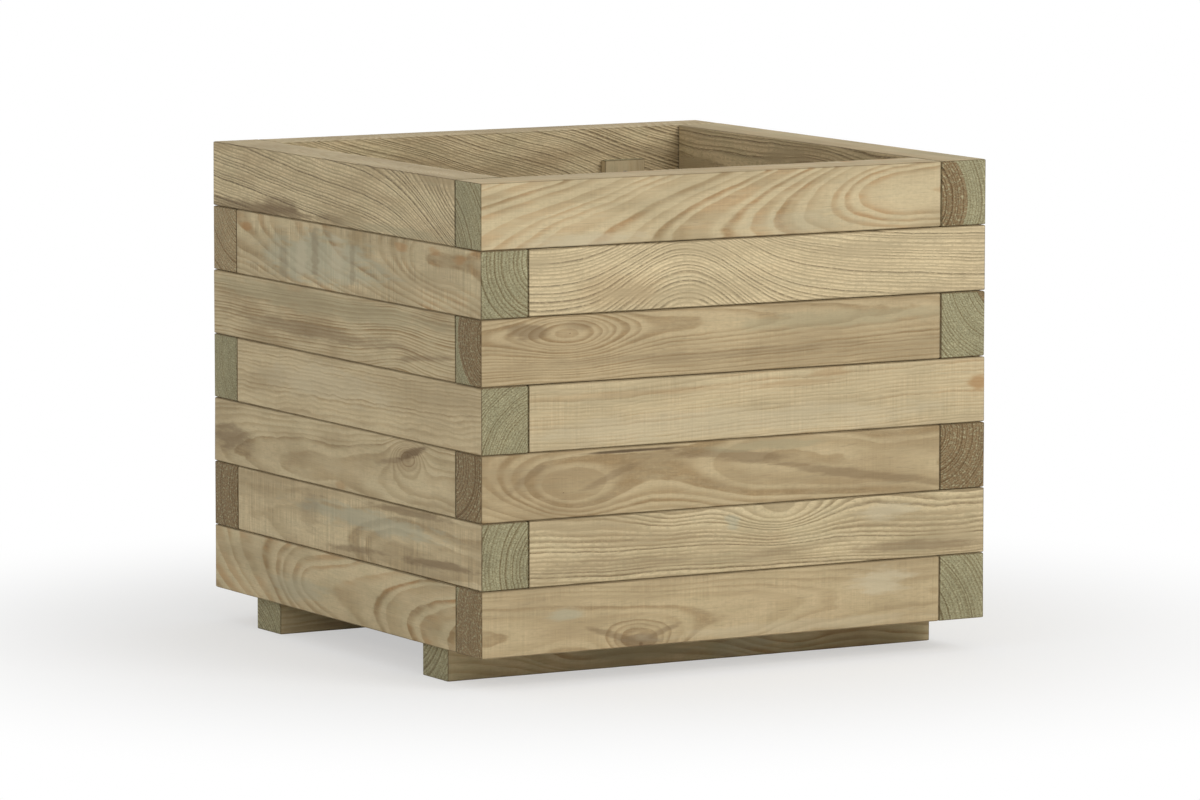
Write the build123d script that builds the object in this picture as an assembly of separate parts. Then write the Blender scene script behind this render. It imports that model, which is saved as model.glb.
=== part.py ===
from build123d import *
import os

# Raised garden bed: a square stack of planed timbers on two runners.
# Each course is four equal timbers. Each timber covers one corner and butts on its neighbour at the
# other, and the next course turns the other way round, so the corners interlock like brickwork.
# Hidden dowels keep the courses in line and a thin batten on each wall ties them together from inside.
# The base boards lie on the runners inside the walls, with gaps to drain, and are screwed down.
# Millimetres. Z is up, the ground is z = 0 and the origin is the middle of the footprint.
# The front wall faces -Y. Courses are counted from the bottom.

# Walls
side_length = 500.0
timber_thickness = 45.5
course_height = 57.5
course_count = 7
butt_gap = 0.3
arris_radius = 1.2

# Runners under the stack, parallel to the front wall
runner_width = 45.5
runner_height = 28.75
runner_set_back = 71.0
runner_left_inset = 6.0
runner_right_inset = 11.0

# Base boards, laid front to back on the runners
board_count = 4
board_thickness = 18.0
board_gap = 6.0
board_end_gap = 2.0

# Battens, one upright on the inner face of each wall
batten_width = 42.0
batten_thickness = 8.0
batten_corner_distance = 106.0
batten_top_drop = 29.0
batten_foot_gap = 0.5

# Dowels between the courses
dowel_radius = 6.0
dowel_length = 48.0
dowel_chamfer = 1.0
dowel_end_room = 1.0
dowel_clearance = 0.05
dowel_stagger = 7.0

# Countersunk screws
screw_clearance = 0.05
screw_rim = 0.6
head_sink = 0.3
hole_overrun = 1.0
recess_length = 4.8
recess_width = 0.9
recess_depth = 1.5
light_screw_radius = 2.0
light_head_radius = 4.0
batten_screw_length = 34.0
board_screw_length = 35.0
board_screw_edge = 22.0
heavy_screw_radius = 2.5
heavy_head_radius = 5.0
runner_screw_length = 60.0
runner_screw_inset = 20.0

# Places worked out from the sizes above
half_side = side_length / 2
half_inside = half_side - timber_thickness
wall_centre = half_side - timber_thickness / 2
timber_length = side_length - timber_thickness - butt_gap
stack_bottom = runner_height
stack_top = stack_bottom + course_count * course_height
runner_length = side_length - runner_left_inset - runner_right_inset
runner_left = -half_side + runner_left_inset
runner_centre_y = half_side - runner_set_back - runner_width / 2
board_length = 2 * (half_inside - board_end_gap)
board_width = (2 * half_inside - (board_count + 1) * board_gap) / board_count
board_top = stack_bottom + board_thickness
batten_x = -half_side + batten_corner_distance
batten_face_y = -half_inside + batten_thickness
batten_bottom = board_top + batten_foot_gap
batten_top = stack_top - batten_top_drop

walls = ("front", "right", "back", "left")


def planed_bar(plane, width, depth, length):
    """A straight bar with eased long edges, its section centred on the plane's origin."""
    section = plane * RectangleRounded(width, depth, arris_radius)
    return extrude(section, amount=length)


def turned(shape, wall):
    """Carry a shape from the front wall's place round to another wall."""
    return Rot(0, 0, 90 * walls.index(wall)) * shape


def screw_blank(length, radius, head_radius, room, mouth):
    """A countersunk shape pointing down from z = 0, with room round it and its mouth above z = 0."""
    shank = radius + room
    head = head_radius + room
    neck = -screw_rim - (head - shank)
    outline = Polyline(
        (0, mouth),
        (head, mouth),
        (head, -screw_rim),
        (shank, neck),
        (shank, -length + 2 * radius),
        (0, -length - room),
        close=True,
    )
    return revolve(Plane.XZ * make_face(outline), Axis.Z)


def screw(length, radius, head_radius):
    """A countersunk screw with a cross recess in its head."""
    slot = Box(recess_length, recess_width, 2 * recess_depth)
    return screw_blank(length, radius, head_radius, 0, 0) - slot - Rot(0, 0, 90) * slot


def screw_hole(length, radius, head_radius):
    """The hole for a screw, open at the face that its head is sunk below."""
    return screw_blank(length, radius, head_radius, screw_clearance, head_sink + hole_overrun)


def bored(shape, holes):
    """Cut every hole that reaches into a piece."""
    for hole in holes:
        shape -= hole
    return shape


def course_bottom(course):
    """Height of the underside of a course above the ground."""
    return stack_bottom + (course - 1) * course_height


def covers_left(course):
    """Odd courses turn one way round and even courses the other."""
    return course % 2 == 1


def joint_side(joint):
    """Dowels of one joint stand clear of those of the next."""
    return 1 if joint % 2 == 1 else -1


def dowel_places(joint, corner_sign):
    """Where a joint's corner and mid-wall dowels stand in the front wall's frame."""
    shift = joint_side(joint) * dowel_stagger
    corner = (corner_sign * (wall_centre - shift), -wall_centre + shift)
    return [corner, (shift, -wall_centre)]


def at_joint(joint, place):
    """The middle of a dowel, level with the joint that it crosses."""
    return Pos(place[0], place[1], course_bottom(joint + 1))


def dowel(joint, place):
    """One dowel, half in the course below the joint and half in the course above."""
    peg = Cylinder(dowel_radius, dowel_length)
    return at_joint(joint, place) * chamfer(peg.edges(), dowel_chamfer)


def dowel_hole(joint, place):
    """The bore for one dowel, with room at both ends."""
    bore = Cylinder(dowel_radius + dowel_clearance, dowel_length + 2 * dowel_end_room)
    return at_joint(joint, place) * bore


def batten_screw_heights():
    """One screw in each course, half way up, and lower in the top course that the batten half covers."""
    heights = [course_bottom(n) + course_height / 2 for n in range(1, course_count)]
    return heights + [(batten_top + course_bottom(course_count)) / 2]


def at_batten(shape, height):
    """Stand a screw or its hole square in the front wall's batten, pointing out through the wall."""
    return Pos(batten_x, batten_face_y - head_sink, height) * Rot(-90, 0, 0) * shape


def at_runner_end(shape, x, y):
    """Stand a screw or its hole in a runner's underside, pointing up into the bottom course."""
    return Pos(x, y, head_sink) * Rot(180, 0, 0) * shape


def at_board(shape, x, y):
    """Stand a screw or its hole in a base board's top, pointing down into a runner."""
    return Pos(x, y, board_top - head_sink) * shape


def runner_screw_places():
    """A screw where each runner crosses under the left and the right wall."""
    left = runner_left + runner_screw_inset
    right = runner_left + runner_length - runner_screw_inset
    return [(x, y) for x in (left, right) for y in (-runner_centre_y, runner_centre_y)]


def board_centre(number):
    """Middle of a base board across the bed, counted from the left."""
    first = -half_inside + board_gap + board_width / 2
    return first + (number - 1) * (board_width + board_gap)


def board_screw_places(number):
    """Two screws across the board over each runner."""
    reach = board_width / 2 - board_screw_edge
    across = (board_centre(number) - reach, board_centre(number) + reach)
    return [(x, y) for x in across for y in (-runner_centre_y, runner_centre_y)]


def front_timber(course):
    """The front wall's timber of one course, bored for its dowels and its batten screw."""
    left_end = -half_side if covers_left(course) else half_side - timber_length
    centre_height = course_bottom(course) + course_height / 2
    plane = Plane.YZ.offset(left_end)
    timber = planed_bar(plane, timber_thickness, course_height, timber_length)
    timber = Pos(0, -wall_centre, centre_height) * timber
    corner_sign = -1 if covers_left(course) else 1
    joints = [joint for joint in (course - 1, course) if 1 <= joint < course_count]
    holes = [dowel_hole(joint, place) for joint in joints for place in dowel_places(joint, corner_sign)]
    return bored(timber, holes + [batten_holes[course - 1]])


def runner(y):
    """One runner."""
    bar = planed_bar(Plane.YZ.offset(runner_left), runner_width, runner_height, runner_length)
    return Pos(0, y, runner_height / 2) * bar


def base_board(number):
    """One base board."""
    start = Plane.XZ.offset(-board_length / 2)
    board = planed_bar(start, board_width, board_thickness, board_length)
    return Pos(board_centre(number), 0, stack_bottom + board_thickness / 2) * board


def front_batten():
    """The front wall's batten, bored for one screw in each course."""
    middle_y = -half_inside + batten_thickness / 2
    bar = planed_bar(Plane.XY, batten_width, batten_thickness, batten_top - batten_bottom)
    return bored(Pos(batten_x, middle_y, batten_bottom) * bar, batten_holes)


def export(name, shape):
    """Write one node."""
    export_step(shape, f"parts/{name}.step")


os.makedirs("parts", exist_ok=True)

# Screw holes
batten_hole = screw_hole(batten_screw_length, light_screw_radius, light_head_radius)
batten_holes = [at_batten(batten_hole, height) for height in batten_screw_heights()]
runner_hole = screw_hole(runner_screw_length, heavy_screw_radius, heavy_head_radius)
runner_holes = [at_runner_end(runner_hole, x, y) for x, y in runner_screw_places()]
board_hole = screw_hole(board_screw_length, light_screw_radius, light_head_radius)
board_numbers = range(1, board_count + 1)
board_spots = [spot for number in board_numbers for spot in board_screw_places(number)]
board_holes = [at_board(board_hole, x, y) for x, y in board_spots]

# Walls, course by course
for course in range(1, course_count + 1):
    timber = front_timber(course)
    for wall in walls:
        piece = turned(timber, wall)
        if course == 1:
            piece = bored(piece, runner_holes)
        export(f"course_{course}_{wall}", piece)

# Dowels, one group for each joint between two courses
for joint in range(1, course_count):
    places = dowel_places(joint, -1)
    pins = [turned(dowel(joint, place), wall) for wall in walls for place in places]
    export(f"dowels_joint_{joint}", Compound(pins))

# Runners
export("runner_front", bored(runner(-runner_centre_y), runner_holes + board_holes))
export("runner_back", bored(runner(runner_centre_y), runner_holes + board_holes))

# Base boards
for number in board_numbers:
    export(f"base_board_{number}", bored(base_board(number), board_holes))

# Battens
for wall in walls:
    export(f"batten_{wall}", turned(front_batten(), wall))

# Screws, one group for each job
runner_screw = screw(runner_screw_length, heavy_screw_radius, heavy_head_radius)
export("runner_screws", Compound([at_runner_end(runner_screw, x, y) for x, y in runner_screw_places()]))
board_screw = screw(board_screw_length, light_screw_radius, light_head_radius)
export("board_screws", Compound([at_board(board_screw, x, y) for x, y in board_spots]))
batten_screw = screw(batten_screw_length, light_screw_radius, light_head_radius)
one_wall = [at_batten(batten_screw, height) for height in batten_screw_heights()]
export("batten_screws", Compound([turned(place, wall) for wall in walls for place in one_wall]))
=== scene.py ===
# %% [markdown]
# Raised garden bed, dressed in Blender.
# The bed is a square stack of pine timbers on two runners. Its pieces come in at their true size from the
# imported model, and this lesson gives them what a camera sees: eased and slightly uneven edges, and pine
# whose growth rings run through the whole timber, so that a long face and the end grain next to it agree.
# Everything is in metres, Z is up, and the front wall faces -Y.

# %% Open the frame
import bpy
import bmesh
import math
import random
from mathutils import Euler, Matrix, Vector, noise


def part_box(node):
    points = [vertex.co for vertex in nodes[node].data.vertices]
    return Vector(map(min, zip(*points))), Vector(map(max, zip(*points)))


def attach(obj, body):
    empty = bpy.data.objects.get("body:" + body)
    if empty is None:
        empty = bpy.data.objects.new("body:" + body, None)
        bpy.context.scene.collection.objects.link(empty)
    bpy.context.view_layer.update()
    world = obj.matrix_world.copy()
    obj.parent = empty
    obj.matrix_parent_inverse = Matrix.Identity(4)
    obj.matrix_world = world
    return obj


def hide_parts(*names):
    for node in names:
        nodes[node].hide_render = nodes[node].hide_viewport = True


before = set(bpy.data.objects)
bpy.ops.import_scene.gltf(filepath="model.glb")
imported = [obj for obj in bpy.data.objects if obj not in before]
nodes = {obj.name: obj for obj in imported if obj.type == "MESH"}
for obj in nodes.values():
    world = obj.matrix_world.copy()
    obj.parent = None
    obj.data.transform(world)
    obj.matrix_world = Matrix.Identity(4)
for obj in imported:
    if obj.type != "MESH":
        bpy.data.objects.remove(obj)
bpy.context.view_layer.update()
MM = 0.001
QUARTER = math.pi / 2
WALLS = ("front", "right", "back", "left")
print("pieces in the frame:", len(nodes))

# %% [markdown]
# The camera. The photograph was taken from well back with a long lens, a little above the rim, with the
# near corner between the two walls that show. A camera can be placed by eye, but here its direction, its
# distance and its lens were worked out from the edges of the bed, so that every joint line falls where the
# photograph has it. The lens of about 221 mm keeps the verticals almost parallel.

# %% Place the camera
LENS = 220.78
SENSOR = 36.0
DISTANCE = 6.508
TURN = math.radians(-29.543)
TILT = math.radians(6.675)
AIM = Vector((0.0043, -0.0033, 0.2093))

looking = Vector((-math.sin(TURN) * math.cos(TILT), math.cos(TURN) * math.cos(TILT), -math.sin(TILT)))
camera_data = bpy.data.cameras.new("camera")
camera_data.lens = LENS
camera_data.sensor_width = SENSOR
camera = bpy.data.objects.new("camera", camera_data)
camera.location = AIM - looking * DISTANCE
camera.rotation_euler = looking.to_track_quat("-Z", "Y").to_euler()
bpy.context.scene.collection.objects.link(camera)
bpy.context.scene.camera = camera
print("camera at", [round(c, 3) for c in camera.location])

# %% [markdown]
# Small helpers for materials. A material is a tree of nodes, and written out link by link it is long and
# hard to read. These helpers add a node, feed its inputs by name with a number or another node's output,
# and hand back the output, so that a pattern reads like a sum.

# %% Colours and nodes
def srgb(red, green, blue):
    """A colour as a picture shows it, 0 to 255, turned into the linear light that a shader works in."""
    def linear(value):
        value /= 255
        return value / 12.92 if value <= 0.04045 else ((value + 0.055) / 1.055) ** 2.4
    return (linear(red), linear(green), linear(blue), 1.0)


def feed(tree, socket, value):
    """Link an output to an input, or set the input to a number."""
    if isinstance(value, bpy.types.NodeSocket):
        tree.links.new(value, socket)
    else:
        socket.default_value = value


def add(tree, kind, inputs, **settings):
    """Add a node, set its options, and feed the inputs that are named."""
    made = tree.nodes.new("ShaderNode" + kind)
    for name, value in settings.items():
        setattr(made, name, value)
    for name, value in inputs.items():
        feed(tree, made.inputs[name], value)
    return made


def new_material(name):
    """A material, its node tree and its main shader."""
    material = bpy.data.materials.new(name)
    material.use_nodes = True
    return material, material.node_tree, material.node_tree.nodes["Principled BSDF"]


# %% [markdown]
# Sums. A Math node takes two numbers and a Vector Math node two vectors. Most of the patterns below only
# add and multiply, so those two take as many values as they are given.

# %% Sums on numbers and vectors
def calc(tree, operation, *values):
    """One Math node."""
    made = tree.nodes.new("ShaderNodeMath")
    made.operation = operation
    for socket, value in zip(made.inputs, values):
        feed(tree, socket, value)
    return made.outputs[0]


def plus(tree, total, *values):
    """Numbers added up."""
    for value in values:
        total = calc(tree, "ADD", total, value)
    return total


def minus(tree, value, taken):
    """One number less another."""
    return calc(tree, "SUBTRACT", value, taken)


def times(tree, product, *values):
    """Numbers multiplied."""
    for value in values:
        product = calc(tree, "MULTIPLY", product, value)
    return product


def vector_calc(tree, operation, *values):
    """One Vector Math node. Length and dot product come out as a number."""
    made = tree.nodes.new("ShaderNodeVectorMath")
    made.operation = operation
    for socket, value in zip(made.inputs, values):
        feed(tree, socket, value)
    return made.outputs[1 if operation in ("LENGTH", "DOT_PRODUCT") else 0]


def scaled(tree, vector, factor):
    """A vector made longer or shorter."""
    made = tree.nodes.new("ShaderNodeVectorMath")
    made.operation = "SCALE"
    feed(tree, made.inputs[0], vector)
    feed(tree, made.inputs["Scale"], factor)
    return made.outputs[0]


def part_of(tree, vector, axis):
    """One of a vector's three numbers, 0 for x, 1 for y and 2 for z."""
    return add(tree, "SeparateXYZ", {"Vector": vector}).outputs[axis]


# %% [markdown]
# Steps, noise and paint. Almost every pattern in wood is a soft step taken of a noise: where the noise is
# high there is a streak, where it is low there is none. Stretched along the timber, the same noise is a
# fibre, and stretched less it is a blotch. Paint lays one colour over another by such a pattern.

# %% Steps, noise and paint
def ease(tree, value, low, high, to_low=0.0, to_high=1.0):
    """A smooth step from one number to another as a value goes from low to high."""
    inputs = {"Value": value, "From Min": low, "From Max": high, "To Min": to_low, "To Max": to_high}
    return add(tree, "MapRange", inputs, interpolation_type="SMOOTHSTEP").outputs[0]


def cloud(tree, point, stretch, seed, detail=2.0, roughness=0.5, colour=False):
    """Noise on a point that is stretched along each axis, from 0 to 1, or three of them as a colour."""
    stretched = vector_calc(tree, "MULTIPLY", point, stretch)
    inputs = {"Vector": stretched, "W": seed, "Scale": 1.0, "Detail": detail, "Roughness": roughness}
    made = add(tree, "TexNoise", inputs, noise_dimensions="4D")
    return made.outputs["Color" if colour else "Fac"]


def paint(tree, factor, under, over, kind="MIX"):
    """Lay one colour over another."""
    made = tree.nodes.new("ShaderNodeMix")
    made.data_type = "RGBA"
    made.blend_type = kind
    made.clamp_factor = True
    feed(tree, made.inputs[0], factor)
    feed(tree, made.inputs[6], under)
    feed(tree, made.inputs[7], over)
    return made.outputs[2]


def bumps(tree, shader, height, depth):
    """Let a pattern of heights tilt the light, as if the surface went up and down by a depth."""
    made = add(tree, "Bump", {"Height": height, "Strength": 1.0, "Distance": depth})
    feed(tree, shader.inputs["Normal"], made.outputs[0])


# %% [markdown]
# Node groups. The bed has 38 timbers, each with a material of its own, and they differ only in a few
# numbers. So the pattern is built once as a group with named inputs, and each material holds one node of
# that group with its own numbers in it.

# %% Node groups
def new_group(name, inputs, outputs):
    """A node group with named inputs and outputs, and the nodes that stand for them inside."""
    group = bpy.data.node_groups.new(name, "ShaderNodeTree")
    for label, kind, value in inputs:
        socket = group.interface.new_socket(label, in_out="INPUT", socket_type="NodeSocket" + kind)
        if value is not None:
            socket.default_value = value
    for label, kind in outputs:
        group.interface.new_socket(label, in_out="OUTPUT", socket_type="NodeSocket" + kind)
    return group, group.nodes.new("NodeGroupInput").outputs, group.nodes.new("NodeGroupOutput").inputs


def group_node(tree, group, settings):
    """Put a group in a tree and feed its inputs."""
    made = tree.nodes.new("ShaderNodeGroup")
    made.node_tree = group
    for label, value in settings.items():
        feed(tree, made.inputs[label], value)
    return made.outputs


# %% [markdown]
# A knot. A branch grows out from the middle of the trunk, and the layers of wood swell round it. On a sawn
# face that shows as a dark round core with the growth lines bending round it in loops. The group below
# measures how far a point lies from the branch's axis: near it the layers are lifted, and inside its core
# the wood is dark, with rings of its own. A lift with no core gives the pointed loops that show where a
# face only grazes a swelling. Lengths are in millimetres: x runs along the timber, y outwards, z up.

# %% Knots
KNOT_INPUTS = ("place", "turn", "swell", "spread", "core")
USUAL_SPREAD = 20.0
KNOT_STRETCH = (0.5, 1.0, 1.0)
BRANCH_START = 8.0
WOBBLE = 2.0
WOBBLE_STRETCH = (0.15, 0.15, 0.15)
WOBBLE_SEED = 7.0
SOFT_RIM = 0.8
KNOT_RING_RATE = 3.2


def knot_lift(tree, given, across, outwards):
    """How high the layers swell round the branch, and how near the branch a point is, from 0 to 1."""
    stretched = vector_calc(tree, "LENGTH", vector_calc(tree, "MULTIPLY", across, KNOT_STRETCH))
    ratio = calc(tree, "DIVIDE", stretched, given["spread"])
    hill = calc(tree, "EXPONENT", times(tree, ratio, ratio, -1.0))
    return times(tree, hill, given["swell"], outwards), hill


def make_knot_group():
    """One branch as a node: the lift of the layers, the dark core, its rings and the hill round it."""
    inputs = [("point", "Vector", None)]
    inputs += [(label, "Float", USUAL_SPREAD if label == "spread" else 0.0) for label in KNOT_INPUTS]
    outputs = [("Lift", "Float"), ("Core", "Float"), ("Rings", "Float"), ("Hill", "Float")]
    tree, given, result = new_group("knot", inputs, outputs)
    foot = add(tree, "CombineXYZ", {"X": given["place"]}).outputs[0]
    apart = vector_calc(tree, "SUBTRACT", given["point"], foot)
    lean = {"Y": calc(tree, "COSINE", given["turn"]), "Z": calc(tree, "SINE", given["turn"])}
    axis = add(tree, "CombineXYZ", lean).outputs[0]
    along = vector_calc(tree, "DOT_PRODUCT", apart, axis)
    across = vector_calc(tree, "SUBTRACT", apart, scaled(tree, axis, along))
    outwards = ease(tree, along, 0.0, BRANCH_START)
    lift, hill = knot_lift(tree, given, across, outwards)
    wobble = cloud(tree, given["point"], WOBBLE_STRETCH, WOBBLE_SEED)
    wobble = times(tree, minus(tree, wobble, 0.5), WOBBLE)
    near = plus(tree, vector_calc(tree, "LENGTH", across), wobble)
    rim = times(tree, given["core"], SOFT_RIM)
    inside = ease(tree, near, rim, plus(tree, given["core"], 0.001), 1.0, 0.0)
    feed(tree, result["Lift"], lift)
    feed(tree, result["Core"], times(tree, inside, outwards))
    feed(tree, result["Rings"], calc(tree, "SINE", times(tree, near, KNOT_RING_RATE)))
    feed(tree, result["Hill"], times(tree, hill, ease(tree, given["core"], 0.0, 1.0)))
    return tree


knot_group = make_knot_group()
print("knot group:", len(knot_group.nodes), "nodes")

# %% [markdown]
# The colours of treated pine. The preservative turns the pale sapwood a greenish straw and leaves the
# heartwood, which it can't enter, brown. Spring wood is the broad pale part of a ring, summer wood the
# narrow darker part. The ends drink the most preservative, so they have colours of their own.

# %% Pine colours
SPRING = srgb(199, 181, 144)
SUMMER = srgb(158, 134, 95)
SUMMER_RED = srgb(184, 144, 98)
BROWN = srgb(160, 136, 100)
HEART = srgb(172, 149, 112)
GREEN = srgb(166, 160, 124)
GREY = srgb(172, 159, 128)
KNOT_WOOD = srgb(134, 106, 74)
KNOT_RIM = srgb(98, 76, 52)
END_SAP = srgb(170, 168, 134)
END_TAN = srgb(180, 160, 124)
END_HEART = srgb(152, 131, 97)
END_FLECK = srgb(196, 188, 150)
# Painted shade for the joints, laid along the timbers' edges.
JOINT_SHADE = srgb(92, 76, 50)

# %% [markdown]
# Pine. A picture of wood could be wrapped round each timber, but its ends would never match its sides.
# Instead the pattern is solid: growth rings are shells round a pith line, each shell pale in its spring
# wood and darker and harder in its summer wood. Where a timber is cut from the trunk decides what its
# faces show, so each timber only needs the place of its pith, the width of its rings and its knots. The
# other inputs say how much of each finish it has: red or brown wood, green preservative, ridges where
# the soft wood has sunk between the rings, and marks that the saw left across the grain.

# %% What a timber's recipe can set
USUAL_PINE = {
    "seed": 0.0, "gap": 3.0, "wander": 5.0, "wave": 1.2, "slope up": 0.0, "slope out": 0.0,
    "heart": 0.0, "contrast": 0.6, "red": 0.3, "brown": 0.3, "green": 0.3, "shade": 1.0,
    "relief": 0.3, "saw": 0.2, "end": 0.0, "edge": 0.0,
}
PINE_INPUTS = [("point", "Vector", None), ("pith", "Vector", None)]
PINE_INPUTS += [(label, "Float", value) for label, value in USUAL_PINE.items()]
KNOT_NUMBERS = (1, 2)
for number in KNOT_NUMBERS:
    for label in KNOT_INPUTS:
        PINE_INPUTS.append((f"{label} {number}", "Float", USUAL_SPREAD if label == "spread" else 0.0))
print("pine inputs:", len(PINE_INPUTS))

# %% [markdown]
# Growth rings. How far a point lies from the pith tells how old the tree was when that wood grew, so the
# distance is called the age. A real pith leans and wanders and its layers ripple, so the point is moved by
# a slow noise and a quick one before it is measured, and the knots then lift the layers.

# %% The age of the wood
WANDER_STRETCH = (0.006, 0.01, 0.01)
WAVE_STRETCH = (0.03, 0.06, 0.06)


def swung(tree, given, stretch, detail, reach):
    """A random move of up to a reach in every direction."""
    swing = cloud(tree, given["point"], stretch, given["seed"], detail, colour=True)
    swing = vector_calc(tree, "SUBTRACT", swing, (0.5, 0.5, 0.5))
    return scaled(tree, swing, times(tree, given[reach], 2.0))


def ring_field(tree, given):
    """How far a point lies from the pith, after lean, wander, waves and knots, and the knots themselves."""
    length = part_of(tree, given["point"], 0)
    lean = {"Y": times(tree, length, given["slope out"]), "Z": times(tree, length, given["slope up"])}
    lean = add(tree, "CombineXYZ", lean).outputs[0]
    moved = vector_calc(tree, "ADD", vector_calc(tree, "SUBTRACT", given["point"], given["pith"]), lean)
    moved = vector_calc(tree, "ADD", moved, swung(tree, given, WANDER_STRETCH, 1.0, "wander"))
    moved = vector_calc(tree, "ADD", moved, swung(tree, given, WAVE_STRETCH, 3.0, "wave"))
    age = vector_calc(tree, "LENGTH", vector_calc(tree, "MULTIPLY", moved, (0.0, 1.0, 1.0)))
    knots = []
    for number in KNOT_NUMBERS:
        settings = {label: given[f"{label} {number}"] for label in KNOT_INPUTS}
        knot = group_node(tree, knot_group, {"point": moved, **settings})
        age = minus(tree, age, knot["Lift"])
        knots.append(knot)
    return age, knots


# %% [markdown]
# Summer wood and heartwood. Each ring starts pale, darkens slowly and ends sharply, and no ring is as wide
# or as dark as the next. The heart is the wood up to a certain age from the pith, with a ragged edge.

# %% Rings and heart
RING_UNEVEN = (0.12, 0.0, 0.0)
RING_DRIFT = 3.0
DARKENS = (0.2, 0.8)
ENDS = (0.86, 1.0)
WEAKEST_RING = 0.4
HEART_RAG = 3.0
HEART_EDGE = 1.2


def summer_wood(tree, given, age):
    """How dark the ring is at a point, from 0 to 1."""
    uneven = cloud(tree, add(tree, "CombineXYZ", {"X": age}).outputs[0], RING_UNEVEN, given["seed"])
    count = plus(tree, calc(tree, "DIVIDE", age, given["gap"]), times(tree, uneven, RING_DRIFT))
    within = calc(tree, "FRACT", count)
    summer = times(tree, ease(tree, within, *DARKENS), ease(tree, within, *ENDS, 1.0, 0.0))
    which = calc(tree, "FLOOR", count)
    strength = add(tree, "TexWhiteNoise", {"W": which}, noise_dimensions="1D").outputs[0]
    return times(tree, summer, ease(tree, strength, 0.0, 1.0, WEAKEST_RING, 1.0))


def heartwood(tree, given, age, blotch):
    """Where the heart is, 1 inside it and 0 outside."""
    edge = plus(tree, given["heart"], times(tree, minus(tree, blotch, 0.5), HEART_RAG))
    heart = ease(tree, age, minus(tree, edge, HEART_EDGE), edge, 1.0, 0.0)
    return times(tree, heart, ease(tree, given["heart"], 0.0, 1.0))


# %% [markdown]
# The noises. They all read the same point and differ in how they are stretched: fibres are long and a
# fraction of a millimetre thick, streaks are as thick as a pencil, patches are as long as a hand. Saw
# marks are the other way round, short along the timber and long across it.

# %% Noises of the wood
WOOD_NOISES = {
    # name: stretch along, out and up per millimetre, step of the seed, detail, roughness
    "fibre": ((0.05, 1.5, 1.5), 0.0, 3.0, 0.65),
    "streak": ((0.012, 0.2, 0.2), 0.0, 3.0, 0.6),
    "patch": ((0.009, 0.035, 0.035), 0.0, 3.0, 0.55),
    "blotch": ((0.02, 0.05, 0.05), 5.0, 3.0, 0.6),
    "fade": ((0.02, 0.09, 0.09), 9.0, 2.0, 0.6),
    "dash": ((0.06, 0.9, 0.9), 3.0, 2.0, 0.5),
    "saw": ((0.55, 0.015, 0.015), 2.0, 2.0, 0.7),
    "broken": ((0.2, 0.4, 0.4), 0.0, 2.0, 0.6),
    "pores": ((0.8, 0.55, 0.8), 0.0, 3.0, 0.75),
    "fleck": ((0.4, 0.3, 0.45), 4.0, 3.0, 0.7),
}


def wood_noises(tree, given):
    """All the noises that the pine reads, by name."""
    made = {}
    for name, (stretch, step, detail, roughness) in WOOD_NOISES.items():
        seed = plus(tree, given["seed"], step)
        made[name] = cloud(tree, given["point"], stretch, seed, detail, roughness)
    return made


# %% [markdown]
# The long faces. The colours go on as they come in the real wood: the sapwood with its green and grey
# tint, the summer wood of the rings, then the brown that soaks in as patches, then heart and knots.

# %% Colour of the long faces
GREY_SHARE = 0.5
SWIRL_RINGS = 0.5
SWIRL_SHARE = 0.3
HEART_SHARE = 0.4
KNOT_SHARE = 0.85


def face_colour(tree, given, noises, summer, heart, knots):
    """The colour of a face that was sawn along the timber."""
    patch, streak, blotch = noises["patch"], noises["streak"], noises["blotch"]
    green = times(tree, ease(tree, blotch, 0.36, 0.66), given["green"])
    colour = paint(tree, green, SPRING, GREEN)
    colour = paint(tree, times(tree, ease(tree, streak, 0.45, 0.7), GREY_SHARE), colour, GREY)
    swirl = plus(tree, knots[0]["Hill"], knots[1]["Hill"])
    clear = ease(tree, noises["fade"], 0.34, 0.6, 0.45, 1.2)
    clear = plus(tree, clear, times(tree, swirl, SWIRL_RINGS))
    late = paint(tree, times(tree, given["red"], ease(tree, patch, 0.38, 0.6)), SUMMER, SUMMER_RED)
    colour = paint(tree, times(tree, summer, times(tree, given["contrast"], clear)), colour, late)
    soaked = times(tree, ease(tree, patch, 0.6, 0.38), ease(tree, streak, 0.3, 0.6, 0.4, 1.0))
    colour = paint(tree, times(tree, soaked, given["brown"]), colour, BROWN)
    colour = paint(tree, times(tree, swirl, SWIRL_SHARE), colour, KNOT_WOOD)
    colour = paint(tree, times(tree, heart, HEART_SHARE), colour, HEART)
    for knot in knots:
        ringed = paint(tree, ease(tree, knot["Rings"], -1.0, 1.0), KNOT_WOOD, KNOT_RIM)
        colour = paint(tree, times(tree, knot["Core"], KNOT_SHARE), colour, ringed)
    return colour


# %% [markdown]
# The ends. A saw tears the fibres of end grain, so it is rough and speckled: dark pores, and pale flecks
# of torn fibre that catch the light, fewer of them on the hard summer wood.

# %% Colour of the ends
ANY_GREEN = 0.04
FACE_SHARE = 0.4
END_RINGS = 0.7
PORE_SHARE = 0.55
FLECK_SHARE = 0.65


def torn_fibre(tree, noises, summer):
    """Where torn fibre stands up on an end."""
    return times(tree, ease(tree, noises["fleck"], 0.5, 0.6), ease(tree, summer, 0.0, 0.8, 1.0, 0.25))


def end_colour(tree, given, noises, summer, heart, face, torn):
    """The colour of a timber's end."""
    colour = paint(tree, ease(tree, given["green"], 0.0, ANY_GREEN), END_TAN, END_SAP)
    colour = paint(tree, times(tree, noises["blotch"], FACE_SHARE), colour, face)
    colour = paint(tree, heart, colour, END_HEART)
    colour = paint(tree, times(tree, summer, END_RINGS), colour, BROWN, "MULTIPLY")
    pores = times(tree, ease(tree, noises["pores"], 0.56, 0.4), PORE_SHARE)
    colour = paint(tree, pores, colour, BROWN, "MULTIPLY")
    return paint(tree, times(tree, torn, FLECK_SHARE), colour, END_FLECK)
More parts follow.
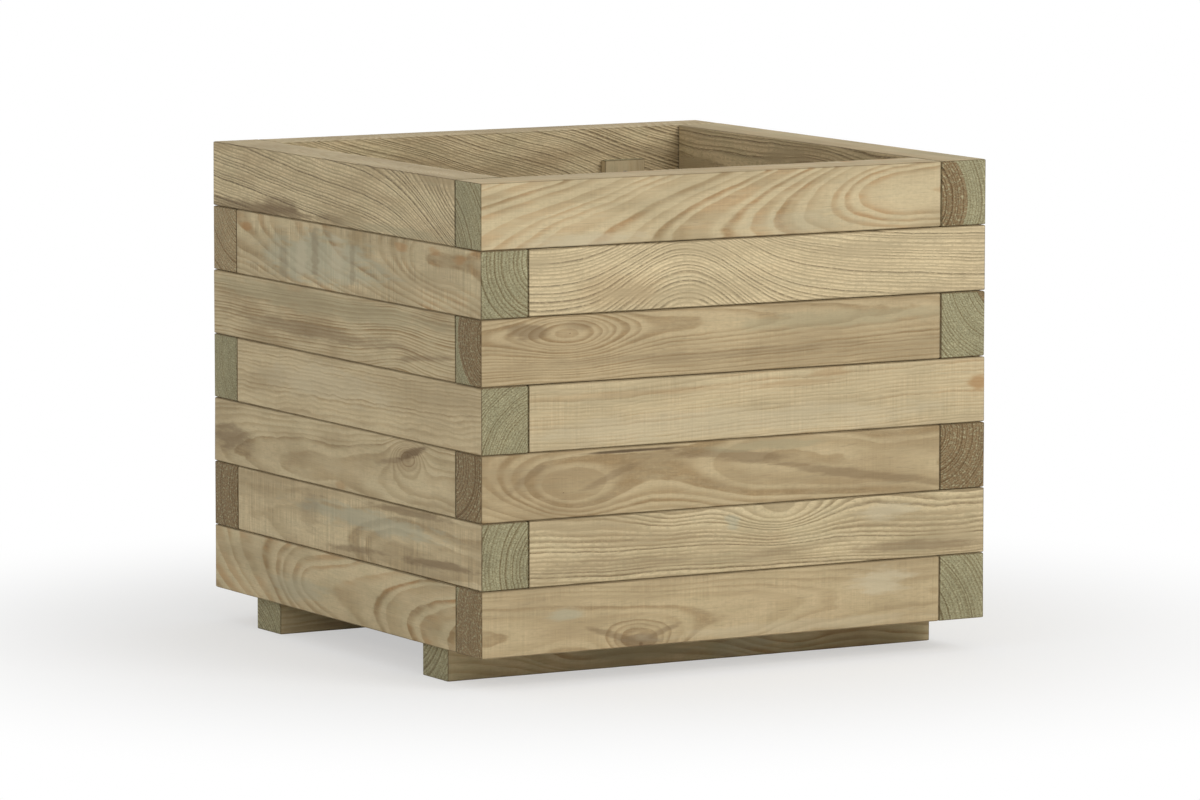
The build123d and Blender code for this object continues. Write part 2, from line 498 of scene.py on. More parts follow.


# %% [markdown]
# Light and dark. Colour alone looks printed. Fibres, streaks and patches make the wood a little lighter
# or darker, and short dark dashes are the resin canals. Where the soft wood has sunk and broken ridges of
# summer wood stand proud on the wide faces, a painted shade darkens the summer wood and lightens the soft
# wood between, on top of the rings' own colour.

# %% Light and dark
FIBRE_SHADE = (0.77, 0.46)
DASH_SHADE = -0.13
STREAK_SHADE = (0.79, 0.42)
PATCH_SHADE = (0.81, 0.38)
RIDGE_SHADE = -0.7
RIDGE_SHADE_LEVEL = 0.4
SAW_SHADE = 1.1
WIDE_FACE = (18.0, 21.0)


def ridges(tree, given, noises):
    """How strongly the rings stand proud, on the outer and the inner face only, and broken up."""
    wide = ease(tree, calc(tree, "ABSOLUTE", part_of(tree, given["point"], 1)), *WIDE_FACE)
    ridge = times(tree, given["relief"], wide, ease(tree, noises["patch"], 0.32, 0.48))
    return times(tree, ridge, ease(tree, noises["broken"], 0.36, 0.56, 0.15, 1.0))


def light_and_dark(tree, given, noises, summer, ridge, sawn):
    """How light the wood is, about 1."""
    def shade(name, base, reach):
        return plus(tree, base, times(tree, noises[name], reach))
    dash = times(tree, ease(tree, noises["dash"], 0.6, 0.72), DASH_SHADE)
    # Painted shade of the ridges: darker summer wood, lighter soft wood between.
    ridge_shade = times(tree, minus(tree, summer, RIDGE_SHADE_LEVEL), times(tree, ridge, RIDGE_SHADE))
    marks = times(tree, minus(tree, noises["saw"], 0.5), times(tree, sawn, SAW_SHADE))
    light = plus(tree, shade("fibre", *FIBRE_SHADE), dash)
    light = times(tree, light, shade("streak", *STREAK_SHADE), shade("patch", *PATCH_SHADE))
    light = times(tree, light, plus(tree, ridge_shade, 1.0), plus(tree, marks, 1.0), given["shade"])
    return add(tree, "CombineColor", {"Red": light, "Green": light, "Blue": light}).outputs[0]


# %% [markdown]
# The pine group puts these together. Along the edges, where the timbers meet, a dark colour is painted as
# the shade in the joints, more of it on some streaks than on others. The height that comes out is for the
# bump: rings, fibres, saw marks and torn ends.

# %% Pine group
SMOOTH_RING = 0.15
RIDGE_RING = -1.2
FIBRE_HEIGHT = 0.5
JOINT_SHADE_SHARE = 0.7
ROUGHNESS = (0.62, 0.82)


def wood_height(tree, given, noises, summer, ridge, sawn, torn):
    """How high the surface stands, in shares of the bump's depth."""
    height = times(tree, summer, plus(tree, SMOOTH_RING, times(tree, ridge, RIDGE_RING)))
    height = plus(tree, height, times(tree, noises["fibre"], FIBRE_HEIGHT))
    height = plus(tree, height, times(tree, noises["saw"], sawn))
    return plus(tree, height, times(tree, minus(tree, torn, noises["pores"]), given["end"]))


def make_pine_group():
    """Pine as one node: a place and a recipe go in, and colour, height and roughness come out."""
    outputs = [("Colour", "Color"), ("Height", "Float"), ("Roughness", "Float")]
    tree, given, result = new_group("pine", PINE_INPUTS, outputs)
    noises = wood_noises(tree, given)
    age, knots = ring_field(tree, given)
    summer = summer_wood(tree, given, age)
    heart = heartwood(tree, given, age, noises["blotch"])
    ridge = ridges(tree, given, noises)
    sawn = times(tree, given["saw"], ease(tree, noises["fade"], 0.35, 0.6))
    torn = torn_fibre(tree, noises, summer)
    face = face_colour(tree, given, noises, summer, heart, knots)
    end = end_colour(tree, given, noises, summer, heart, face, torn)
    light = light_and_dark(tree, given, noises, summer, ridge, sawn)
    colour = paint(tree, 1.0, paint(tree, given["end"], face, end), light, "MULTIPLY")
    # Painted shade along the edges, where the joints are, patchier on some streaks.
    patchy_shade = ease(tree, noises["streak"], 0.2, 0.6, 0.5, 1.0)
    joint_shade = times(tree, ease(tree, given["edge"], 0.3, 0.85), patchy_shade, JOINT_SHADE_SHARE)
    feed(tree, result["Colour"], paint(tree, joint_shade, colour, JOINT_SHADE))
    feed(tree, result["Height"], wood_height(tree, given, noises, summer, ridge, sawn, torn))
    feed(tree, result["Roughness"], ease(tree, noises["fibre"], 0.2, 0.8, *ROUGHNESS))
    return tree


pine_group = make_pine_group()
print("pine group:", len(pine_group.nodes), "nodes")

# %% [markdown]
# Stains. Rain, resin and the preservative leave marks of their own: an orange spot, a bleached stretch, a
# brown band, a drying crack. Each is an oval on the timber's outer face with a ragged edge. A noise
# moves the edge in and out along the fibres, so the oval itself is never seen.

# %% Stains
ORANGE = srgb(170, 130, 84)
DARK = srgb(116, 95, 68)
PALE = srgb(204, 192, 162)
OLIVE = srgb(168, 158, 126)
BLUE_GREY = srgb(176, 174, 150)
CRACK = srgb(78, 60, 42)
RAG_STRETCH = (0.03, 0.16, 0.16)
RAG_SEED = 3.0
RAG_REACH = 3.0
STAIN_FADES = (0.45, 1.15)


def make_stain_group():
    """One stain as a node, laid over the colour that goes in."""
    inputs = [("colour", "Color", None), ("point", "Vector", None), ("centre", "Vector", None),
              ("size", "Vector", None), ("tilt", "Float", 0.0), ("tint", "Color", None),
              ("strength", "Float", 0.5), ("rag", "Float", 0.7)]
    tree, given, result = new_group("stain", inputs, [("Colour", "Color")])
    apart = vector_calc(tree, "SUBTRACT", given["point"], given["centre"])
    rise = times(tree, part_of(tree, apart, 0), given["tilt"])
    apart = vector_calc(tree, "SUBTRACT", apart, add(tree, "CombineXYZ", {"Z": rise}).outputs[0])
    far = vector_calc(tree, "LENGTH", vector_calc(tree, "DIVIDE", apart, given["size"]))
    rough = minus(tree, cloud(tree, given["point"], RAG_STRETCH, RAG_SEED, 3.0, 0.65), 0.5)
    rough = times(tree, rough, times(tree, given["rag"], RAG_REACH))
    mask = ease(tree, plus(tree, far, rough), *STAIN_FADES, 1.0, 0.0)
    strength = times(tree, mask, given["strength"])
    feed(tree, result["Colour"], paint(tree, strength, given["colour"], given["tint"]))
    return tree


stain_group = make_stain_group()
print("stain group:", len(stain_group.nodes), "nodes")

# %% [markdown]
# How each timber was sawn. A recipe says where the pith lies from the middle of the timber, outwards and
# up, in millimetres, how wide the rings are, how much the pith slopes, and where a knot or a swelling
# comes out of the outer face. Heart is the age up to which the wood is brown. Along a wall the places run
# from +250 at the left of the photograph to -250 at the right, for both walls that show.

# %% A recipe
def recipe(pith, gap, slope=(0.0, 0.0), knots=(), stains=(), **others):
    """A timber's cut. A knot is (place, height, swell, spread, core). A stain is (place, height, half
    length, half height, tint, strength) and maybe how far it rises for each millimetre along."""
    stains = [(*stain, 0.0)[:7] for stain in stains]
    return {"pith": pith, "gap": gap, "slope": slope, "knots": knots, "stains": stains, "others": others}


# %% [markdown]
# The front wall, from the top course down. The top timber has broad orange bands, the next one fine broken
# ridges, the third an oval over its left end, and the fifth a dark swirl with a drying crack above it.

# %% Recipes of the front wall
FRONT = {
    7: recipe((-38, -21), 4.4, (0.13, 0.11), ((-140, 8, 8, 34, 0),),
              ((-60, -18, 60, 10, BLUE_GREY, 0.2), (150, -24, 60, 7, PALE, 0.5)),
              contrast=0.72, red=0.95, green=0.12, brown=0.1),
    6: recipe((0, -62), 2.8, (0.0, -0.06), ((52, 10, 44, 36, 0),), ((120, -10, 50, 18, ORANGE, 0.15),),
              contrast=0.24, red=0.6, green=0.05, brown=0.12, relief=1.0, shade=1.01),
    5: recipe((44, 16), 2.7, (0.03, 0.01), ((165, 15, 16, 24, 0.5),),
              ((204, 16, 22, 8, DARK, 0.55), (155, 19, 18, 5, DARK, 0.3),
               (-110, 12, 130, 8, OLIVE, 0.5), (60, -12, 190, 5, DARK, 0.22)),
              heart=53.0, contrast=0.85, red=0.2, brown=0.3, green=0.1, shade=0.98),
    4: recipe((-55, 70), 2.2, (0.0, 0.02), (),
              ((-243, 6, 12, 10, ORANGE, 0.7), (-92, 24, 22, 5, ORANGE, 0.3),
               (20, -14, 240, 14, PALE, 0.3), (110, 16, 110, 3, ORANGE, 0.22),
               (-60, 16, 50, 3, ORANGE, 0.25)),
              contrast=0.36, red=0.9, green=0.08, brown=0.08, saw=0.4),
    3: recipe((-30, 6), 4.2, (0.04, -0.05), ((172, -12, 15, 27, 0.4), (-70, 26, 6, 40, 0)),
              ((105, 25, 52, 1.6, CRACK, 0.85), (0, 14, 60, 6, DARK, 0.5, 0.1),
               (-130, -10, 90, 5, DARK, 0.42, 0.16), (205, 8, 22, 5, DARK, 0.3, -0.6),
               (120, 6, 40, 4, DARK, 0.35, -0.35), (-30, 22, 60, 5, OLIVE, 0.5)),
              heart=90.0, contrast=0.85, red=0.1, brown=0.45, green=0.2, shade=0.98, wander=8.0),
    2: recipe((-50, 52), 2.5, (0.0, -0.02), ((-40, 22, 14, 24, 0), (60, 28, 6, 24, 0)),
              ((5, 14, 8, 10, BLUE_GREY, 0.5), (-150, 14, 32, 9, PALE, 0.5),
               (-180, -18, 80, 5, DARK, 0.4, 0.03), (130, -14, 90, 9, DARK, 0.25),
               (-60, -12, 60, 4, DARK, 0.25, -0.1)),
              contrast=0.55, red=0.12, green=0.2, brown=0.3, relief=0.8, shade=0.98),
    1: recipe((75, -5), 2.8, (0.03, 0.02), ((95, -27, 15, 19, 2.0),),
              ((-145, 10, 34, 13, PALE, 0.6), (168, 4, 22, 7, BLUE_GREY, 0.5),
               (98, -24, 24, 7, DARK, 0.65), (122, -17, 30, 3.5, DARK, 0.5, 0.3),
               (76, -18, 22, 3.5, DARK, 0.45, -0.35), (-60, -22, 160, 6, PALE, 0.3)),
              heart=92.0, contrast=0.6, red=0.2, green=0.25, brown=0.25, saw=0.35),
}
print("front recipes:", len(FRONT))

# %% [markdown]
# The left wall. Its top timber has ridges that steepen towards the near corner over a dark band. The one
# below was left by a coarse saw: it is bleached blue-grey across the middle, with orange tips of rings.

# %% Recipes of the left wall
LEFT = {
    7: recipe((-10, 62), 2.6, (0.0, -0.1), ((-245, -8, 46, 50, 0),),
              ((150, -25, 135, 7, DARK, 0.6), (122, -20, 40, 9, DARK, 0.55),
               (20, -24, 30, 5, DARK, 0.4), (-100, -24, 130, 5, OLIVE, 0.5)),
              contrast=0.36, red=0.2, green=0.2, brown=0.4, relief=1.3, shade=0.95),
    6: recipe((-64, 27), 3.6, (0.09, -0.03), ((-150, 14, 8, 26, 0),),
              ((45, -4, 125, 24, BLUE_GREY, 0.62), (52, -2, 8, 30, DARK, 0.35),
               (-18, -6, 6, 24, DARK, 0.3), (112, -8, 9, 20, DARK, 0.25),
               (78, -4, 12, 22, PALE, 0.4), (10, 2, 14, 22, PALE, 0.4),
               (183, 15, 11, 5, ORANGE, 0.65), (-108, 21, 13, 5, ORANGE, 0.55),
               (-168, 22, 12, 4, ORANGE, 0.5), (-214, 19, 13, 5, ORANGE, 0.6)),
              contrast=0.8, red=0.6, green=0.2, brown=0.2, shade=0.98, saw=1.0),
    5: recipe((-8, -82), 2.9, (0.0, 0.015), ((-100, -22, 10, 26, 0),),
              ((40, 16, 260, 12, OLIVE, 0.5), (60, -9, 190, 7, DARK, 0.4),
               (-140, -14, 60, 3, DARK, 0.45, -0.1)),
              contrast=1.0, red=0.1, green=0.15, brown=0.6, shade=0.96),
    4: recipe((-58, -58), 2.3, (0.0, 0.02), (), ((40, 4, 140, 17, PALE, 0.3),),
              contrast=0.5, red=0.3, green=0.05, brown=0.3, wave=2.4),
    3: recipe((-34, -12), 2.5, (0.02, 0.02), ((-118, 17, 14, 13, 1.2),),
              ((212, -4, 48, 14, DARK, 0.55), (-126, 18, 26, 5, DARK, 0.85, -0.25),
               (5, -24, 12, 4, ORANGE, 0.4), (-90, 8, 30, 3, DARK, 0.4, -0.15)),
              contrast=0.6, red=0.15, green=0.15, brown=0.4, shade=0.98),
    2: recipe((-60, -10), 3.4, (0.02, 0.0), ((-90, -26, 7, 30, 0),),
              ((-50, 8, 155, 10, BLUE_GREY, 0.55), (65, 2, 20, 20, DARK, 0.25),
               (-20, -20, 60, 4, DARK, 0.5, -0.05), (-170, -15, 90, 4, DARK, 0.6, -0.03),
               (-120, 24, 85, 4, DARK, 0.5)),
              contrast=0.5, red=0.2, green=0.1, brown=0.4, shade=0.99, saw=0.9),
    1: recipe((-66, -2), 4.4, (0.13, -0.1), ((70, -8, 9, 30, 0),), ((85, -10, 60, 12, BLUE_GREY, 0.35),),
              contrast=0.9, red=0.7, green=0.25, brown=0.2),
}
print("left recipes:", len(LEFT))

# %% [markdown]
# The right and the back wall. Some of their timbers have an end that shows at a corner, or an inner face
# that shows over the rim, so these have recipes too. The rest get theirs from a draw, further down.

# %% Recipes of the right and the back wall
RIGHT = {
    7: recipe((-50, -6), 3.0, (0.02, 0.0), ((40, 0, 10, 26, 4),),
              heart=58.4, green=0.5, relief=1.0, brown=0.1, contrast=0.4),
    5: recipe((48, 52), 2.6, (0.0, 0.03), heart=38.0, green=0.6),
    3: recipe((-30, 20), 2.4, (0.02, 0.0), ((-80, 4, 12, 22, 5),), heart=95.0, brown=0.4),
    1: recipe((-62, -34), 3.6, (0.05, 0.03), green=0.6),
}
BACK = {
    7: recipe((10, -130), 2.6, (0.0, 0.32), (), ((0, 0, 300, 40, DARK, 0.22),),
              contrast=0.5, brown=0.5, relief=1.2, wander=12.0),
    6: recipe((-44, 48), 2.8, (0.03, 0.0), red=0.4, brown=0.5, green=0.0, contrast=0.8),
    4: recipe((-62, 10), 2.4, (0.0, 0.02), green=0.8),
    2: recipe((-52, 0), 2.6, (0.0, 0.02), ((100, 5, 12, 24, 4),), heart=95.0, brown=0.4),
}
print("right and back recipes:", len(RIGHT) + len(BACK))

# %% [markdown]
# One material for each timber. Object coordinates are turned and moved by a Mapping node so that x runs
# along the timber, y points out of the wall and z up, in millimetres from the timber's middle, and the
# groups above do the rest. The bump is a fraction of a millimetre, which is what a planed face has.

# %% Pine material
BUMP_DEPTH = 0.4 * MM
SHINE = 0.2
OUTER_FACE = 22.75
STAIN_DEPTH = 60.0
THIN_STAIN = 3.0
THIN_RAG = 0.25
BROAD_RAG = 0.7


def timber_point(tree, middle, turn):
    """A point in the timber's own directions, in millimetres from the middle of its section."""
    shift = -(turn.to_matrix() @ middle) / MM
    shift.x = 0.0
    place = {"Vector": add(tree, "TexCoord", {}).outputs["Object"], "Location": shift, "Rotation": turn,
             "Scale": (1 / MM, 1 / MM, 1 / MM)}
    return add(tree, "Mapping", place).outputs[0]


def pine_settings(cut, seed):
    """A recipe as inputs of the pine group."""
    settings = {"pith": (0.0, *cut["pith"]), "seed": seed, "gap": cut["gap"],
                "slope out": cut["slope"][0], "slope up": cut["slope"][1], **cut["others"]}
    for number, (place, height, swell, spread, core) in enumerate(cut["knots"], 1):
        turn = math.atan2(height - cut["pith"][1], OUTER_FACE - cut["pith"][0])
        for label, value in zip(KNOT_INPUTS, (place, turn, swell, spread, core)):
            settings[f"{label} {number}"] = value
    return settings


def stained(tree, point, colour, stains, end):
    """Lay a timber's stains over its colour, but not on its ends."""
    off_end = minus(tree, 1.0, end)
    for along, height, half_length, half_height, tint, strength, tilt in stains:
        colour = group_node(tree, stain_group, {
            "colour": colour, "point": point, "centre": (along, OUTER_FACE, height),
            "size": (half_length, STAIN_DEPTH, half_height), "tilt": tilt, "tint": tint,
            "rag": THIN_RAG if half_height < THIN_STAIN else BROAD_RAG,
            "strength": times(tree, off_end, strength)})["Colour"]
    return colour


def pine_material(name, middle, turn, cut, seed):
    """Pine for a timber. The turn brings its outer face to +Y and its length to X."""
    material, tree, shader = new_material(name)
    point = timber_point(tree, middle, turn)
    end = add(tree, "Attribute", {}, attribute_name="end_grain").outputs["Fac"]
    edge = add(tree, "Attribute", {}, attribute_name="edge").outputs["Fac"]
    settings = {"point": point, "end": end, "edge": edge, **pine_settings(cut, seed)}
    pine = group_node(tree, pine_group, settings)
    feed(tree, shader.inputs["Base Color"], stained(tree, point, pine["Colour"], cut["stains"], end))
    feed(tree, shader.inputs["Roughness"], pine["Roughness"])
    bumps(tree, shader, pine["Height"], BUMP_DEPTH)
    shader.inputs["Specular IOR Level"].default_value = SHINE
    return material


# %% [markdown]
# Cutting a piece up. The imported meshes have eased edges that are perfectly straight, which no sawn timber
# has, and they are long triangles with no points in between to move. So each piece is copied, its doubled
# points are merged, and planes cut it into short lengths and mark off a narrow border along its edges.

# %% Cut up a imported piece
CUT_STEP = 9.0 * MM
BORDER = 1.7 * MM
SAME_POINT = 0.001 * MM
FLAT = math.radians(0.5)


def cut_at(mesh, axis, distance):
    """Cut a mesh with a plane square to an axis."""
    normal = Vector((0.0, 0.0, 0.0))
    normal[axis] = 1.0
    everything = mesh.verts[:] + mesh.edges[:] + mesh.faces[:]
    bmesh.ops.bisect_plane(mesh, geom=everything, plane_co=normal * distance, plane_no=normal)


def cut_up(node, low, high, length_axis):
    """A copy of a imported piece, merged and cut up."""
    mesh = bmesh.new()
    mesh.from_mesh(nodes[node].data)
    bmesh.ops.remove_doubles(mesh, verts=mesh.verts, dist=SAME_POINT)
    bmesh.ops.dissolve_limit(mesh, angle_limit=FLAT, verts=mesh.verts, edges=mesh.edges)
    for axis in range(3):
        cut_at(mesh, axis, low[axis] + BORDER)
        cut_at(mesh, axis, high[axis] - BORDER)
    length = (high - low)[length_axis]
    count = round(length / CUT_STEP)
    for number in range(1, count):
        cut_at(mesh, length_axis, low[length_axis] + length * number / count)
    return mesh


# %% [markdown]
# Worn edges. Every point near the surface is pushed in by a smooth noise, a tenth of a millimetre on the
# faces and a few tenths on the edges, and each timber is set in a little further than its neighbours or a
# little less, as they never lie quite flush. Points only go inwards, so the piece stays in its own space.

# %% Wear the edges
FACE_WAVE = 0.12 * MM
EDGE_WEAR = 0.5 * MM
END_WEAR = 0.45 * MM
SURFACE = 1.3 * MM
WAVES_PER_METRE = 55
CHIPS_PER_METRE = 160
NOISE_STEPS = (3.7, 1.3, -2.1)


def wear(mesh, low, high, length_axis, seed, set_in):
    """Push surface points inwards, and write how near an edge each one is."""
    edge_layer = mesh.verts.layers.float.new("edge")
    middle, half = (low + high) / 2, (high - low) / 2
    offset = Vector([seed * step for step in NOISE_STEPS])
    for vert in mesh.verts:
        away = vert.co - middle
        depth = [half[axis] - abs(away[axis]) for axis in range(3)]
        edge = max(0.0, 1.0 - sorted(depth)[1] / BORDER)
        vert[edge_layer] = edge
        wave = 0.5 + 0.5 * noise.noise(vert.co * WAVES_PER_METRE + offset)
        chip = max(0.0, 0.5 + noise.noise(vert.co * CHIPS_PER_METRE + offset))
        for axis in range(3):
            if depth[axis] < SURFACE:
                if axis == length_axis:
                    push = END_WEAR * edge
                else:
                    push = set_in + FACE_WAVE * wave + EDGE_WEAR * edge * edge * chip
                vert.co[axis] -= math.copysign(push, away[axis])


# %% [markdown]
# Dressing a timber. Two attributes tell its material where it is: on an end, or near an edge. Edges that
# turn by 28 degrees or more stay sharp, so that the light breaks on them.

# %% Dress a timber
SHARP = math.radians(28)
SQUARE_TO_LENGTH = 0.9


def worked_copy(node, length_axis, seed, set_in):
    """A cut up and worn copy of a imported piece."""
    low, high = [Vector(corner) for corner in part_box(node)]
    mesh = cut_up(node, low, high, length_axis)
    end_grain = mesh.faces.layers.float.new("end_grain")
    for face in mesh.faces:
        face[end_grain] = 1.0 if abs(face.normal[length_axis]) > SQUARE_TO_LENGTH else 0.0
        face.smooth = True
    wear(mesh, low, high, length_axis, seed, set_in)
    mesh.normal_update()
    for edge in mesh.edges:
        edge.smooth = len(edge.link_faces) == 2 and edge.calc_face_angle(0.0) < SHARP
    data = bpy.data.meshes.new(node + "_pine")
    mesh.to_mesh(data)
    mesh.free()
    piece = bpy.data.objects.new(node + "_pine", data)
    bpy.context.scene.collection.objects.link(piece)
    return piece


def dress(node, length_axis, turn, cut, seed, set_in=0.0):
    """Replace a packed timber by its worn copy in its own pine."""
    piece = worked_copy(node, length_axis, seed, set_in)
    low, high = [Vector(corner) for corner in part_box(node)]
    piece.data.materials.append(pine_material(node, (low + high) / 2, turn, cut, seed))
    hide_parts(node)
    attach(piece, "root")


# %% [markdown]
# A timber that the photograph doesn't show gets its recipe from a seeded draw, so these timbers differ from
# each other and come out the same every time.

# %% A drawn recipe
draw = random.Random(7)


def drawn_recipe():
    """A recipe for a timber that the photograph doesn't show."""
    knot = (draw.uniform(-200, 200), draw.uniform(-20, 20), draw.uniform(6, 15), draw.uniform(20, 36),
            draw.choice((0, 0, 4)))
    stain = (draw.uniform(-200, 200), draw.uniform(-20, 20), draw.uniform(30, 120), draw.uniform(5, 18),
             draw.choice((DARK, PALE, OLIVE, BLUE_GREY, ORANGE)), draw.uniform(0.2, 0.5))
    return recipe(
        (draw.uniform(-65, 5), draw.choice((-1, 1)) * draw.uniform(0, 60)), draw.uniform(2.3, 4.2),
        (draw.uniform(-0.03, 0.08), draw.uniform(-0.08, 0.08)), (knot,), (stain,),
        heart=draw.choice((0, 0, 50, 90)), red=draw.uniform(0.1, 0.8), green=draw.uniform(0.1, 0.5),
        contrast=draw.uniform(0.3, 0.7), relief=draw.uniform(0.1, 1.0), brown=draw.uniform(0.1, 0.5),
        shade=draw.uniform(0.93, 1.02),
    )


# %% [markdown]
# The wall timbers, course by course. A turn about Z brings each wall's outer face to the same side, so one
# kind of recipe serves all four walls.

# %% Wall timbers
SET_IN = 0.35 * MM
BY_HAND = {"front": FRONT, "right": RIGHT, "back": BACK, "left": LEFT}
for course in range(1, 8):
    for index, wall in enumerate(WALLS):
        cut = BY_HAND[wall].get(course) or drawn_recipe()
        length_axis = 0 if wall in ("front", "back") else 1
        turn = Euler((0.0, 0.0, (2 - index) * QUARTER))
        set_in = draw.uniform(0.0, 1.0) * SET_IN
        seed = course * 4.0 + index
        dress(f"course_{course}_{wall}", length_axis, turn, cut, seed, set_in)
print("wall timbers dressed: 28")

# %% [markdown]
# The runners are two lower timbers that lift the bed off the ground, of the same pine. They lie along X
# like the front wall's timbers, so the same turn serves. The front one shows its face and an end.

# %% Runners
RUNNER_CUTS = {
    "runner_front": recipe(
        (-40, 44), 4.4, (0.06, -0.04), ((120, 0, 8, 20, 0), (-90, 0, 8, 24, 0)),
        ((60, 0, 60, 12, OLIVE, 0.5), (-150, 4, 40, 8, ORANGE, 0.25), (-40, -4, 40, 8, BLUE_GREY, 0.4)),
        contrast=0.7, red=0.5, green=0.5, brown=0.3, shade=0.98),
    "runner_back": recipe((-30, -40), 3.4, (0.03, 0.02), green=0.5, brown=0.4, shade=0.95),
}
RUNNER_SEED = 40.0
for index, (node, cut) in enumerate(RUNNER_CUTS.items()):
    dress(node, 0, Euler((0.0, 0.0, math.pi)), cut, RUNNER_SEED + index)
print("runners dressed:", len(RUNNER_CUTS))

# %% [markdown]
# The base boards lie flat on the runners, from front to back. Their wide upper face takes the place of an
# outer face, so the turn tips them over as well as round.

# %% Base boards
BOARD_TURN = Euler((-QUARTER, -QUARTER, 0.0))
BOARD_SEED = 50.0
for number in range(1, 5):
    cut = recipe((-60, draw.uniform(-30, 30)), 3.6, (0.0, 0.0), ((draw.uniform(-150, 150), 0, 10, 30, 4),),
                 red=0.4, green=0.4, shade=0.95)
    dress(f"base_board_{number}", 1, BOARD_TURN, cut, BOARD_SEED + number)
print("base boards dressed: 4")

# %% [markdown]
# The battens stand upright inside the walls and tie the courses together. Their grain runs up, so each
# is turned as its wall is, and then on its end. Two turns one after the other are two matrices multiplied.

# %% Battens
BATTEN_CUT = recipe((-40, 6), 2.6, (0.02, 0.0), red=0.4, green=0.3, brown=0.3)
BATTEN_SEED = 60.0
for index, wall in enumerate(WALLS):
    round_wall = Matrix.Rotation((2 - index) * QUARTER, 3, "Z")
    turn = (Matrix.Rotation(QUARTER, 3, "Y") @ round_wall).to_euler()
    dress(f"batten_{wall}", 2, turn, BATTEN_CUT, BATTEN_SEED + index)
print("battens dressed:", len(WALLS))

# %% [markdown]
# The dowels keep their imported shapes, because they are turned to size and nobody sees them wear. They are
# pale hardwood with short pores along them and the fine marks of turning round them.

# %% Dowels
DOWEL_PALE = srgb(206, 180, 138)
DOWEL_PORE = srgb(176, 144, 102)
TURNING_SHARE = 0.6
TURNING_DEPTH = 0.1 * MM


def assign(node, material):
    """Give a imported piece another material."""
    piece = nodes[node]
    if not piece.material_slots:
        piece.data.materials.append(material)
    piece.material_slots[0].link = "OBJECT"
    piece.material_slots[0].material = material


def piece_point(tree):
    """A point of a piece in millimetres."""
    return scaled(tree, add(tree, "TexCoord", {}).outputs["Object"], 1 / MM)


hardwood, tree, shader = new_material("turned_hardwood")
where = piece_point(tree)
grain = cloud(tree, where, (0.9, 0.9, 0.05), 1.0, 3.0, 0.6)
lathe = cloud(tree, where, (0.02, 0.02, 2.0), 2.0, 2.0)
feed(tree, shader.inputs["Base Color"], paint(tree, ease(tree, grain, 0.35, 0.7), DOWEL_PALE, DOWEL_PORE))
feed(tree, shader.inputs["Roughness"], ease(tree, grain, 0.3, 0.7, 0.5, 0.7))
bumps(tree, shader, plus(tree, times(tree, lathe, TURNING_SHARE), grain), TURNING_DEPTH)
for joint in range(1, 7):
    assign(f"dowels_joint_{joint}", hardwood)
print("dowels are of turned hardwood")

# %% [markdown]
# The screws are plated steel that has gone dull. A cloud of duller plate lies over the bright one, and fine
# scratches change how rough it is, which on metal shows more than a change of colour.

# %% Screws
PLATE_BRIGHT = srgb(190, 186, 172)
PLATE_DULL = srgb(150, 142, 122)
SCRATCH_DEPTH = 0.03 * MM

steel, tree, shader = new_material("plated_steel")
where = piece_point(tree)
dull = cloud(tree, where, (0.5, 0.5, 0.5), 1.0, 4.0, 0.6)
scratch = cloud(tree, where, (3.0, 0.4, 3.0), 2.0, 3.0, 0.7)
feed(tree, shader.inputs["Base Color"], paint(tree, ease(tree, dull, 0.4, 0.65), PLATE_BRIGHT, PLATE_DULL))
feed(tree, shader.inputs["Roughness"], ease(tree, scratch, 0.3, 0.7, 0.32, 0.55))
bumps(tree, shader, scratch, SCRATCH_DEPTH)
shader.inputs["Metallic"].default_value = 1.0
for node in ("runner_screws", "board_screws", "batten_screws"):
    assign(node, steel)
print("screws are of plated steel")

# %% [markdown]
# The surroundings. The photograph was lit softly from all round. A pale world gives that even light, and
# rays that look straight at the background see plain white. Light Path tells those rays from the ones
# that light the bed, so a white background adds no light.

# %% World
WHITE = (1.0, 1.0, 1.0, 1.0)
AMBIENT = 0.6


def background_ray(tree):
    """One for rays that look at the background: the camera's, and those from metal and glass."""
    path = add(tree, "LightPath", {}).outputs
    seen = calc(tree, "MAXIMUM", path["Is Camera Ray"], path["Is Glossy Ray"])
    return calc(tree, "MAXIMUM", seen, path["Is Transmission Ray"])


def mix_shaders(tree, factor, first, second):
    """One shader for some rays or places and another for the rest."""
    mixed = add(tree, "MixShader", {"Fac": factor})
    tree.links.new(first.outputs[0], mixed.inputs[1])
    tree.links.new(second.outputs[0], mixed.inputs[2])
    return mixed.outputs[0]


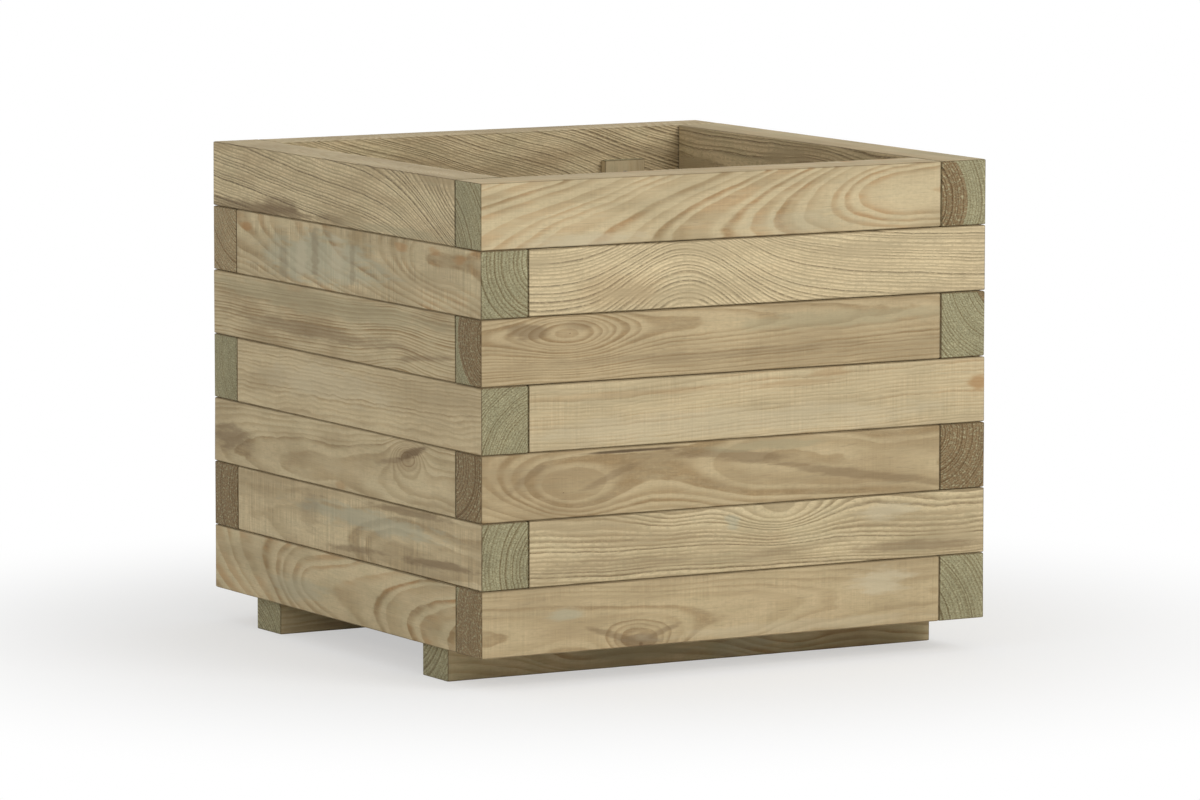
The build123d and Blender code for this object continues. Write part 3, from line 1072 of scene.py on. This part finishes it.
world = bpy.data.worlds.new("studio")
bpy.context.scene.world = world
world.use_nodes = True
tree = world.node_tree
tree.nodes.clear()
soft = add(tree, "Background", {"Color": WHITE, "Strength": AMBIENT})
plain = add(tree, "Background", {"Color": WHITE, "Strength": 1.0})
add(tree, "OutputWorld", {"Surface": mix_shaders(tree, background_ray(tree), soft, plain)})
print("world lights with a strength of", AMBIENT)

# %% [markdown]
# The floor is pale and matt and keeps the bed's soft shadow. The camera sees it lighter than it is, half
# plain white close to the bed and all white further out, so that it has no edge.

# %% Floor
FLOOR_REACH = 40.0
FLOOR_SIDES = 96
FLOOR_COLOUR = (0.92, 0.92, 0.91, 1.0)
WHITENS = (0.3, 0.8)
WHITE_NEAR = 0.5

mesh = bmesh.new()
bmesh.ops.create_circle(mesh, cap_ends=True, segments=FLOOR_SIDES, radius=FLOOR_REACH)
floor_data = bpy.data.meshes.new("floor")
mesh.to_mesh(floor_data)
mesh.free()
floor = bpy.data.objects.new("floor", floor_data)
bpy.context.scene.collection.objects.link(floor)
floor_material, tree, _ = new_material("floor")
tree.nodes.clear()
matt = add(tree, "BsdfDiffuse", {"Color": FLOOR_COLOUR})
plain = add(tree, "Emission", {"Color": WHITE, "Strength": 1.0})
out_from_bed = vector_calc(tree, "LENGTH", add(tree, "TexCoord", {}).outputs["Object"])
whiter = times(tree, ease(tree, out_from_bed, *WHITENS, WHITE_NEAR, 1.0), background_ray(tree))
add(tree, "OutputMaterial", {"Surface": mix_shaders(tree, whiter, matt, plain)})
floor_data.materials.append(floor_material)
print("floor reaches", FLOOR_REACH, "m")

# %% [markdown]
# The lamps. The front wall is brighter than the left one, so a broad lamp stands in front and to the right,
# and a weak one fills the left. Broad lamps give soft edges to shadows. Their power is low enough for a
# colour to come out about as it is written.

# %% Lamps
def lamp(name, place, size, power):
    """A broad lamp that points at the bed."""
    data = bpy.data.lights.new(name, "AREA")
    data.shape = "DISK"
    data.size = size
    data.energy = power
    made = bpy.data.objects.new(name, data)
    made.location = place
    made.rotation_euler = (AIM - Vector(place)).to_track_quat("-Z", "Y").to_euler()
    bpy.context.scene.collection.objects.link(made)


lamp("key", place=(1.3, -3.2, 2.4), size=2.2, power=54.5)
lamp("fill", place=(-3.4, -0.8, 2.0), size=2.4, power=10.0)
bpy.context.scene.view_settings.view_transform = "Standard"
print("lamps: key and fill")
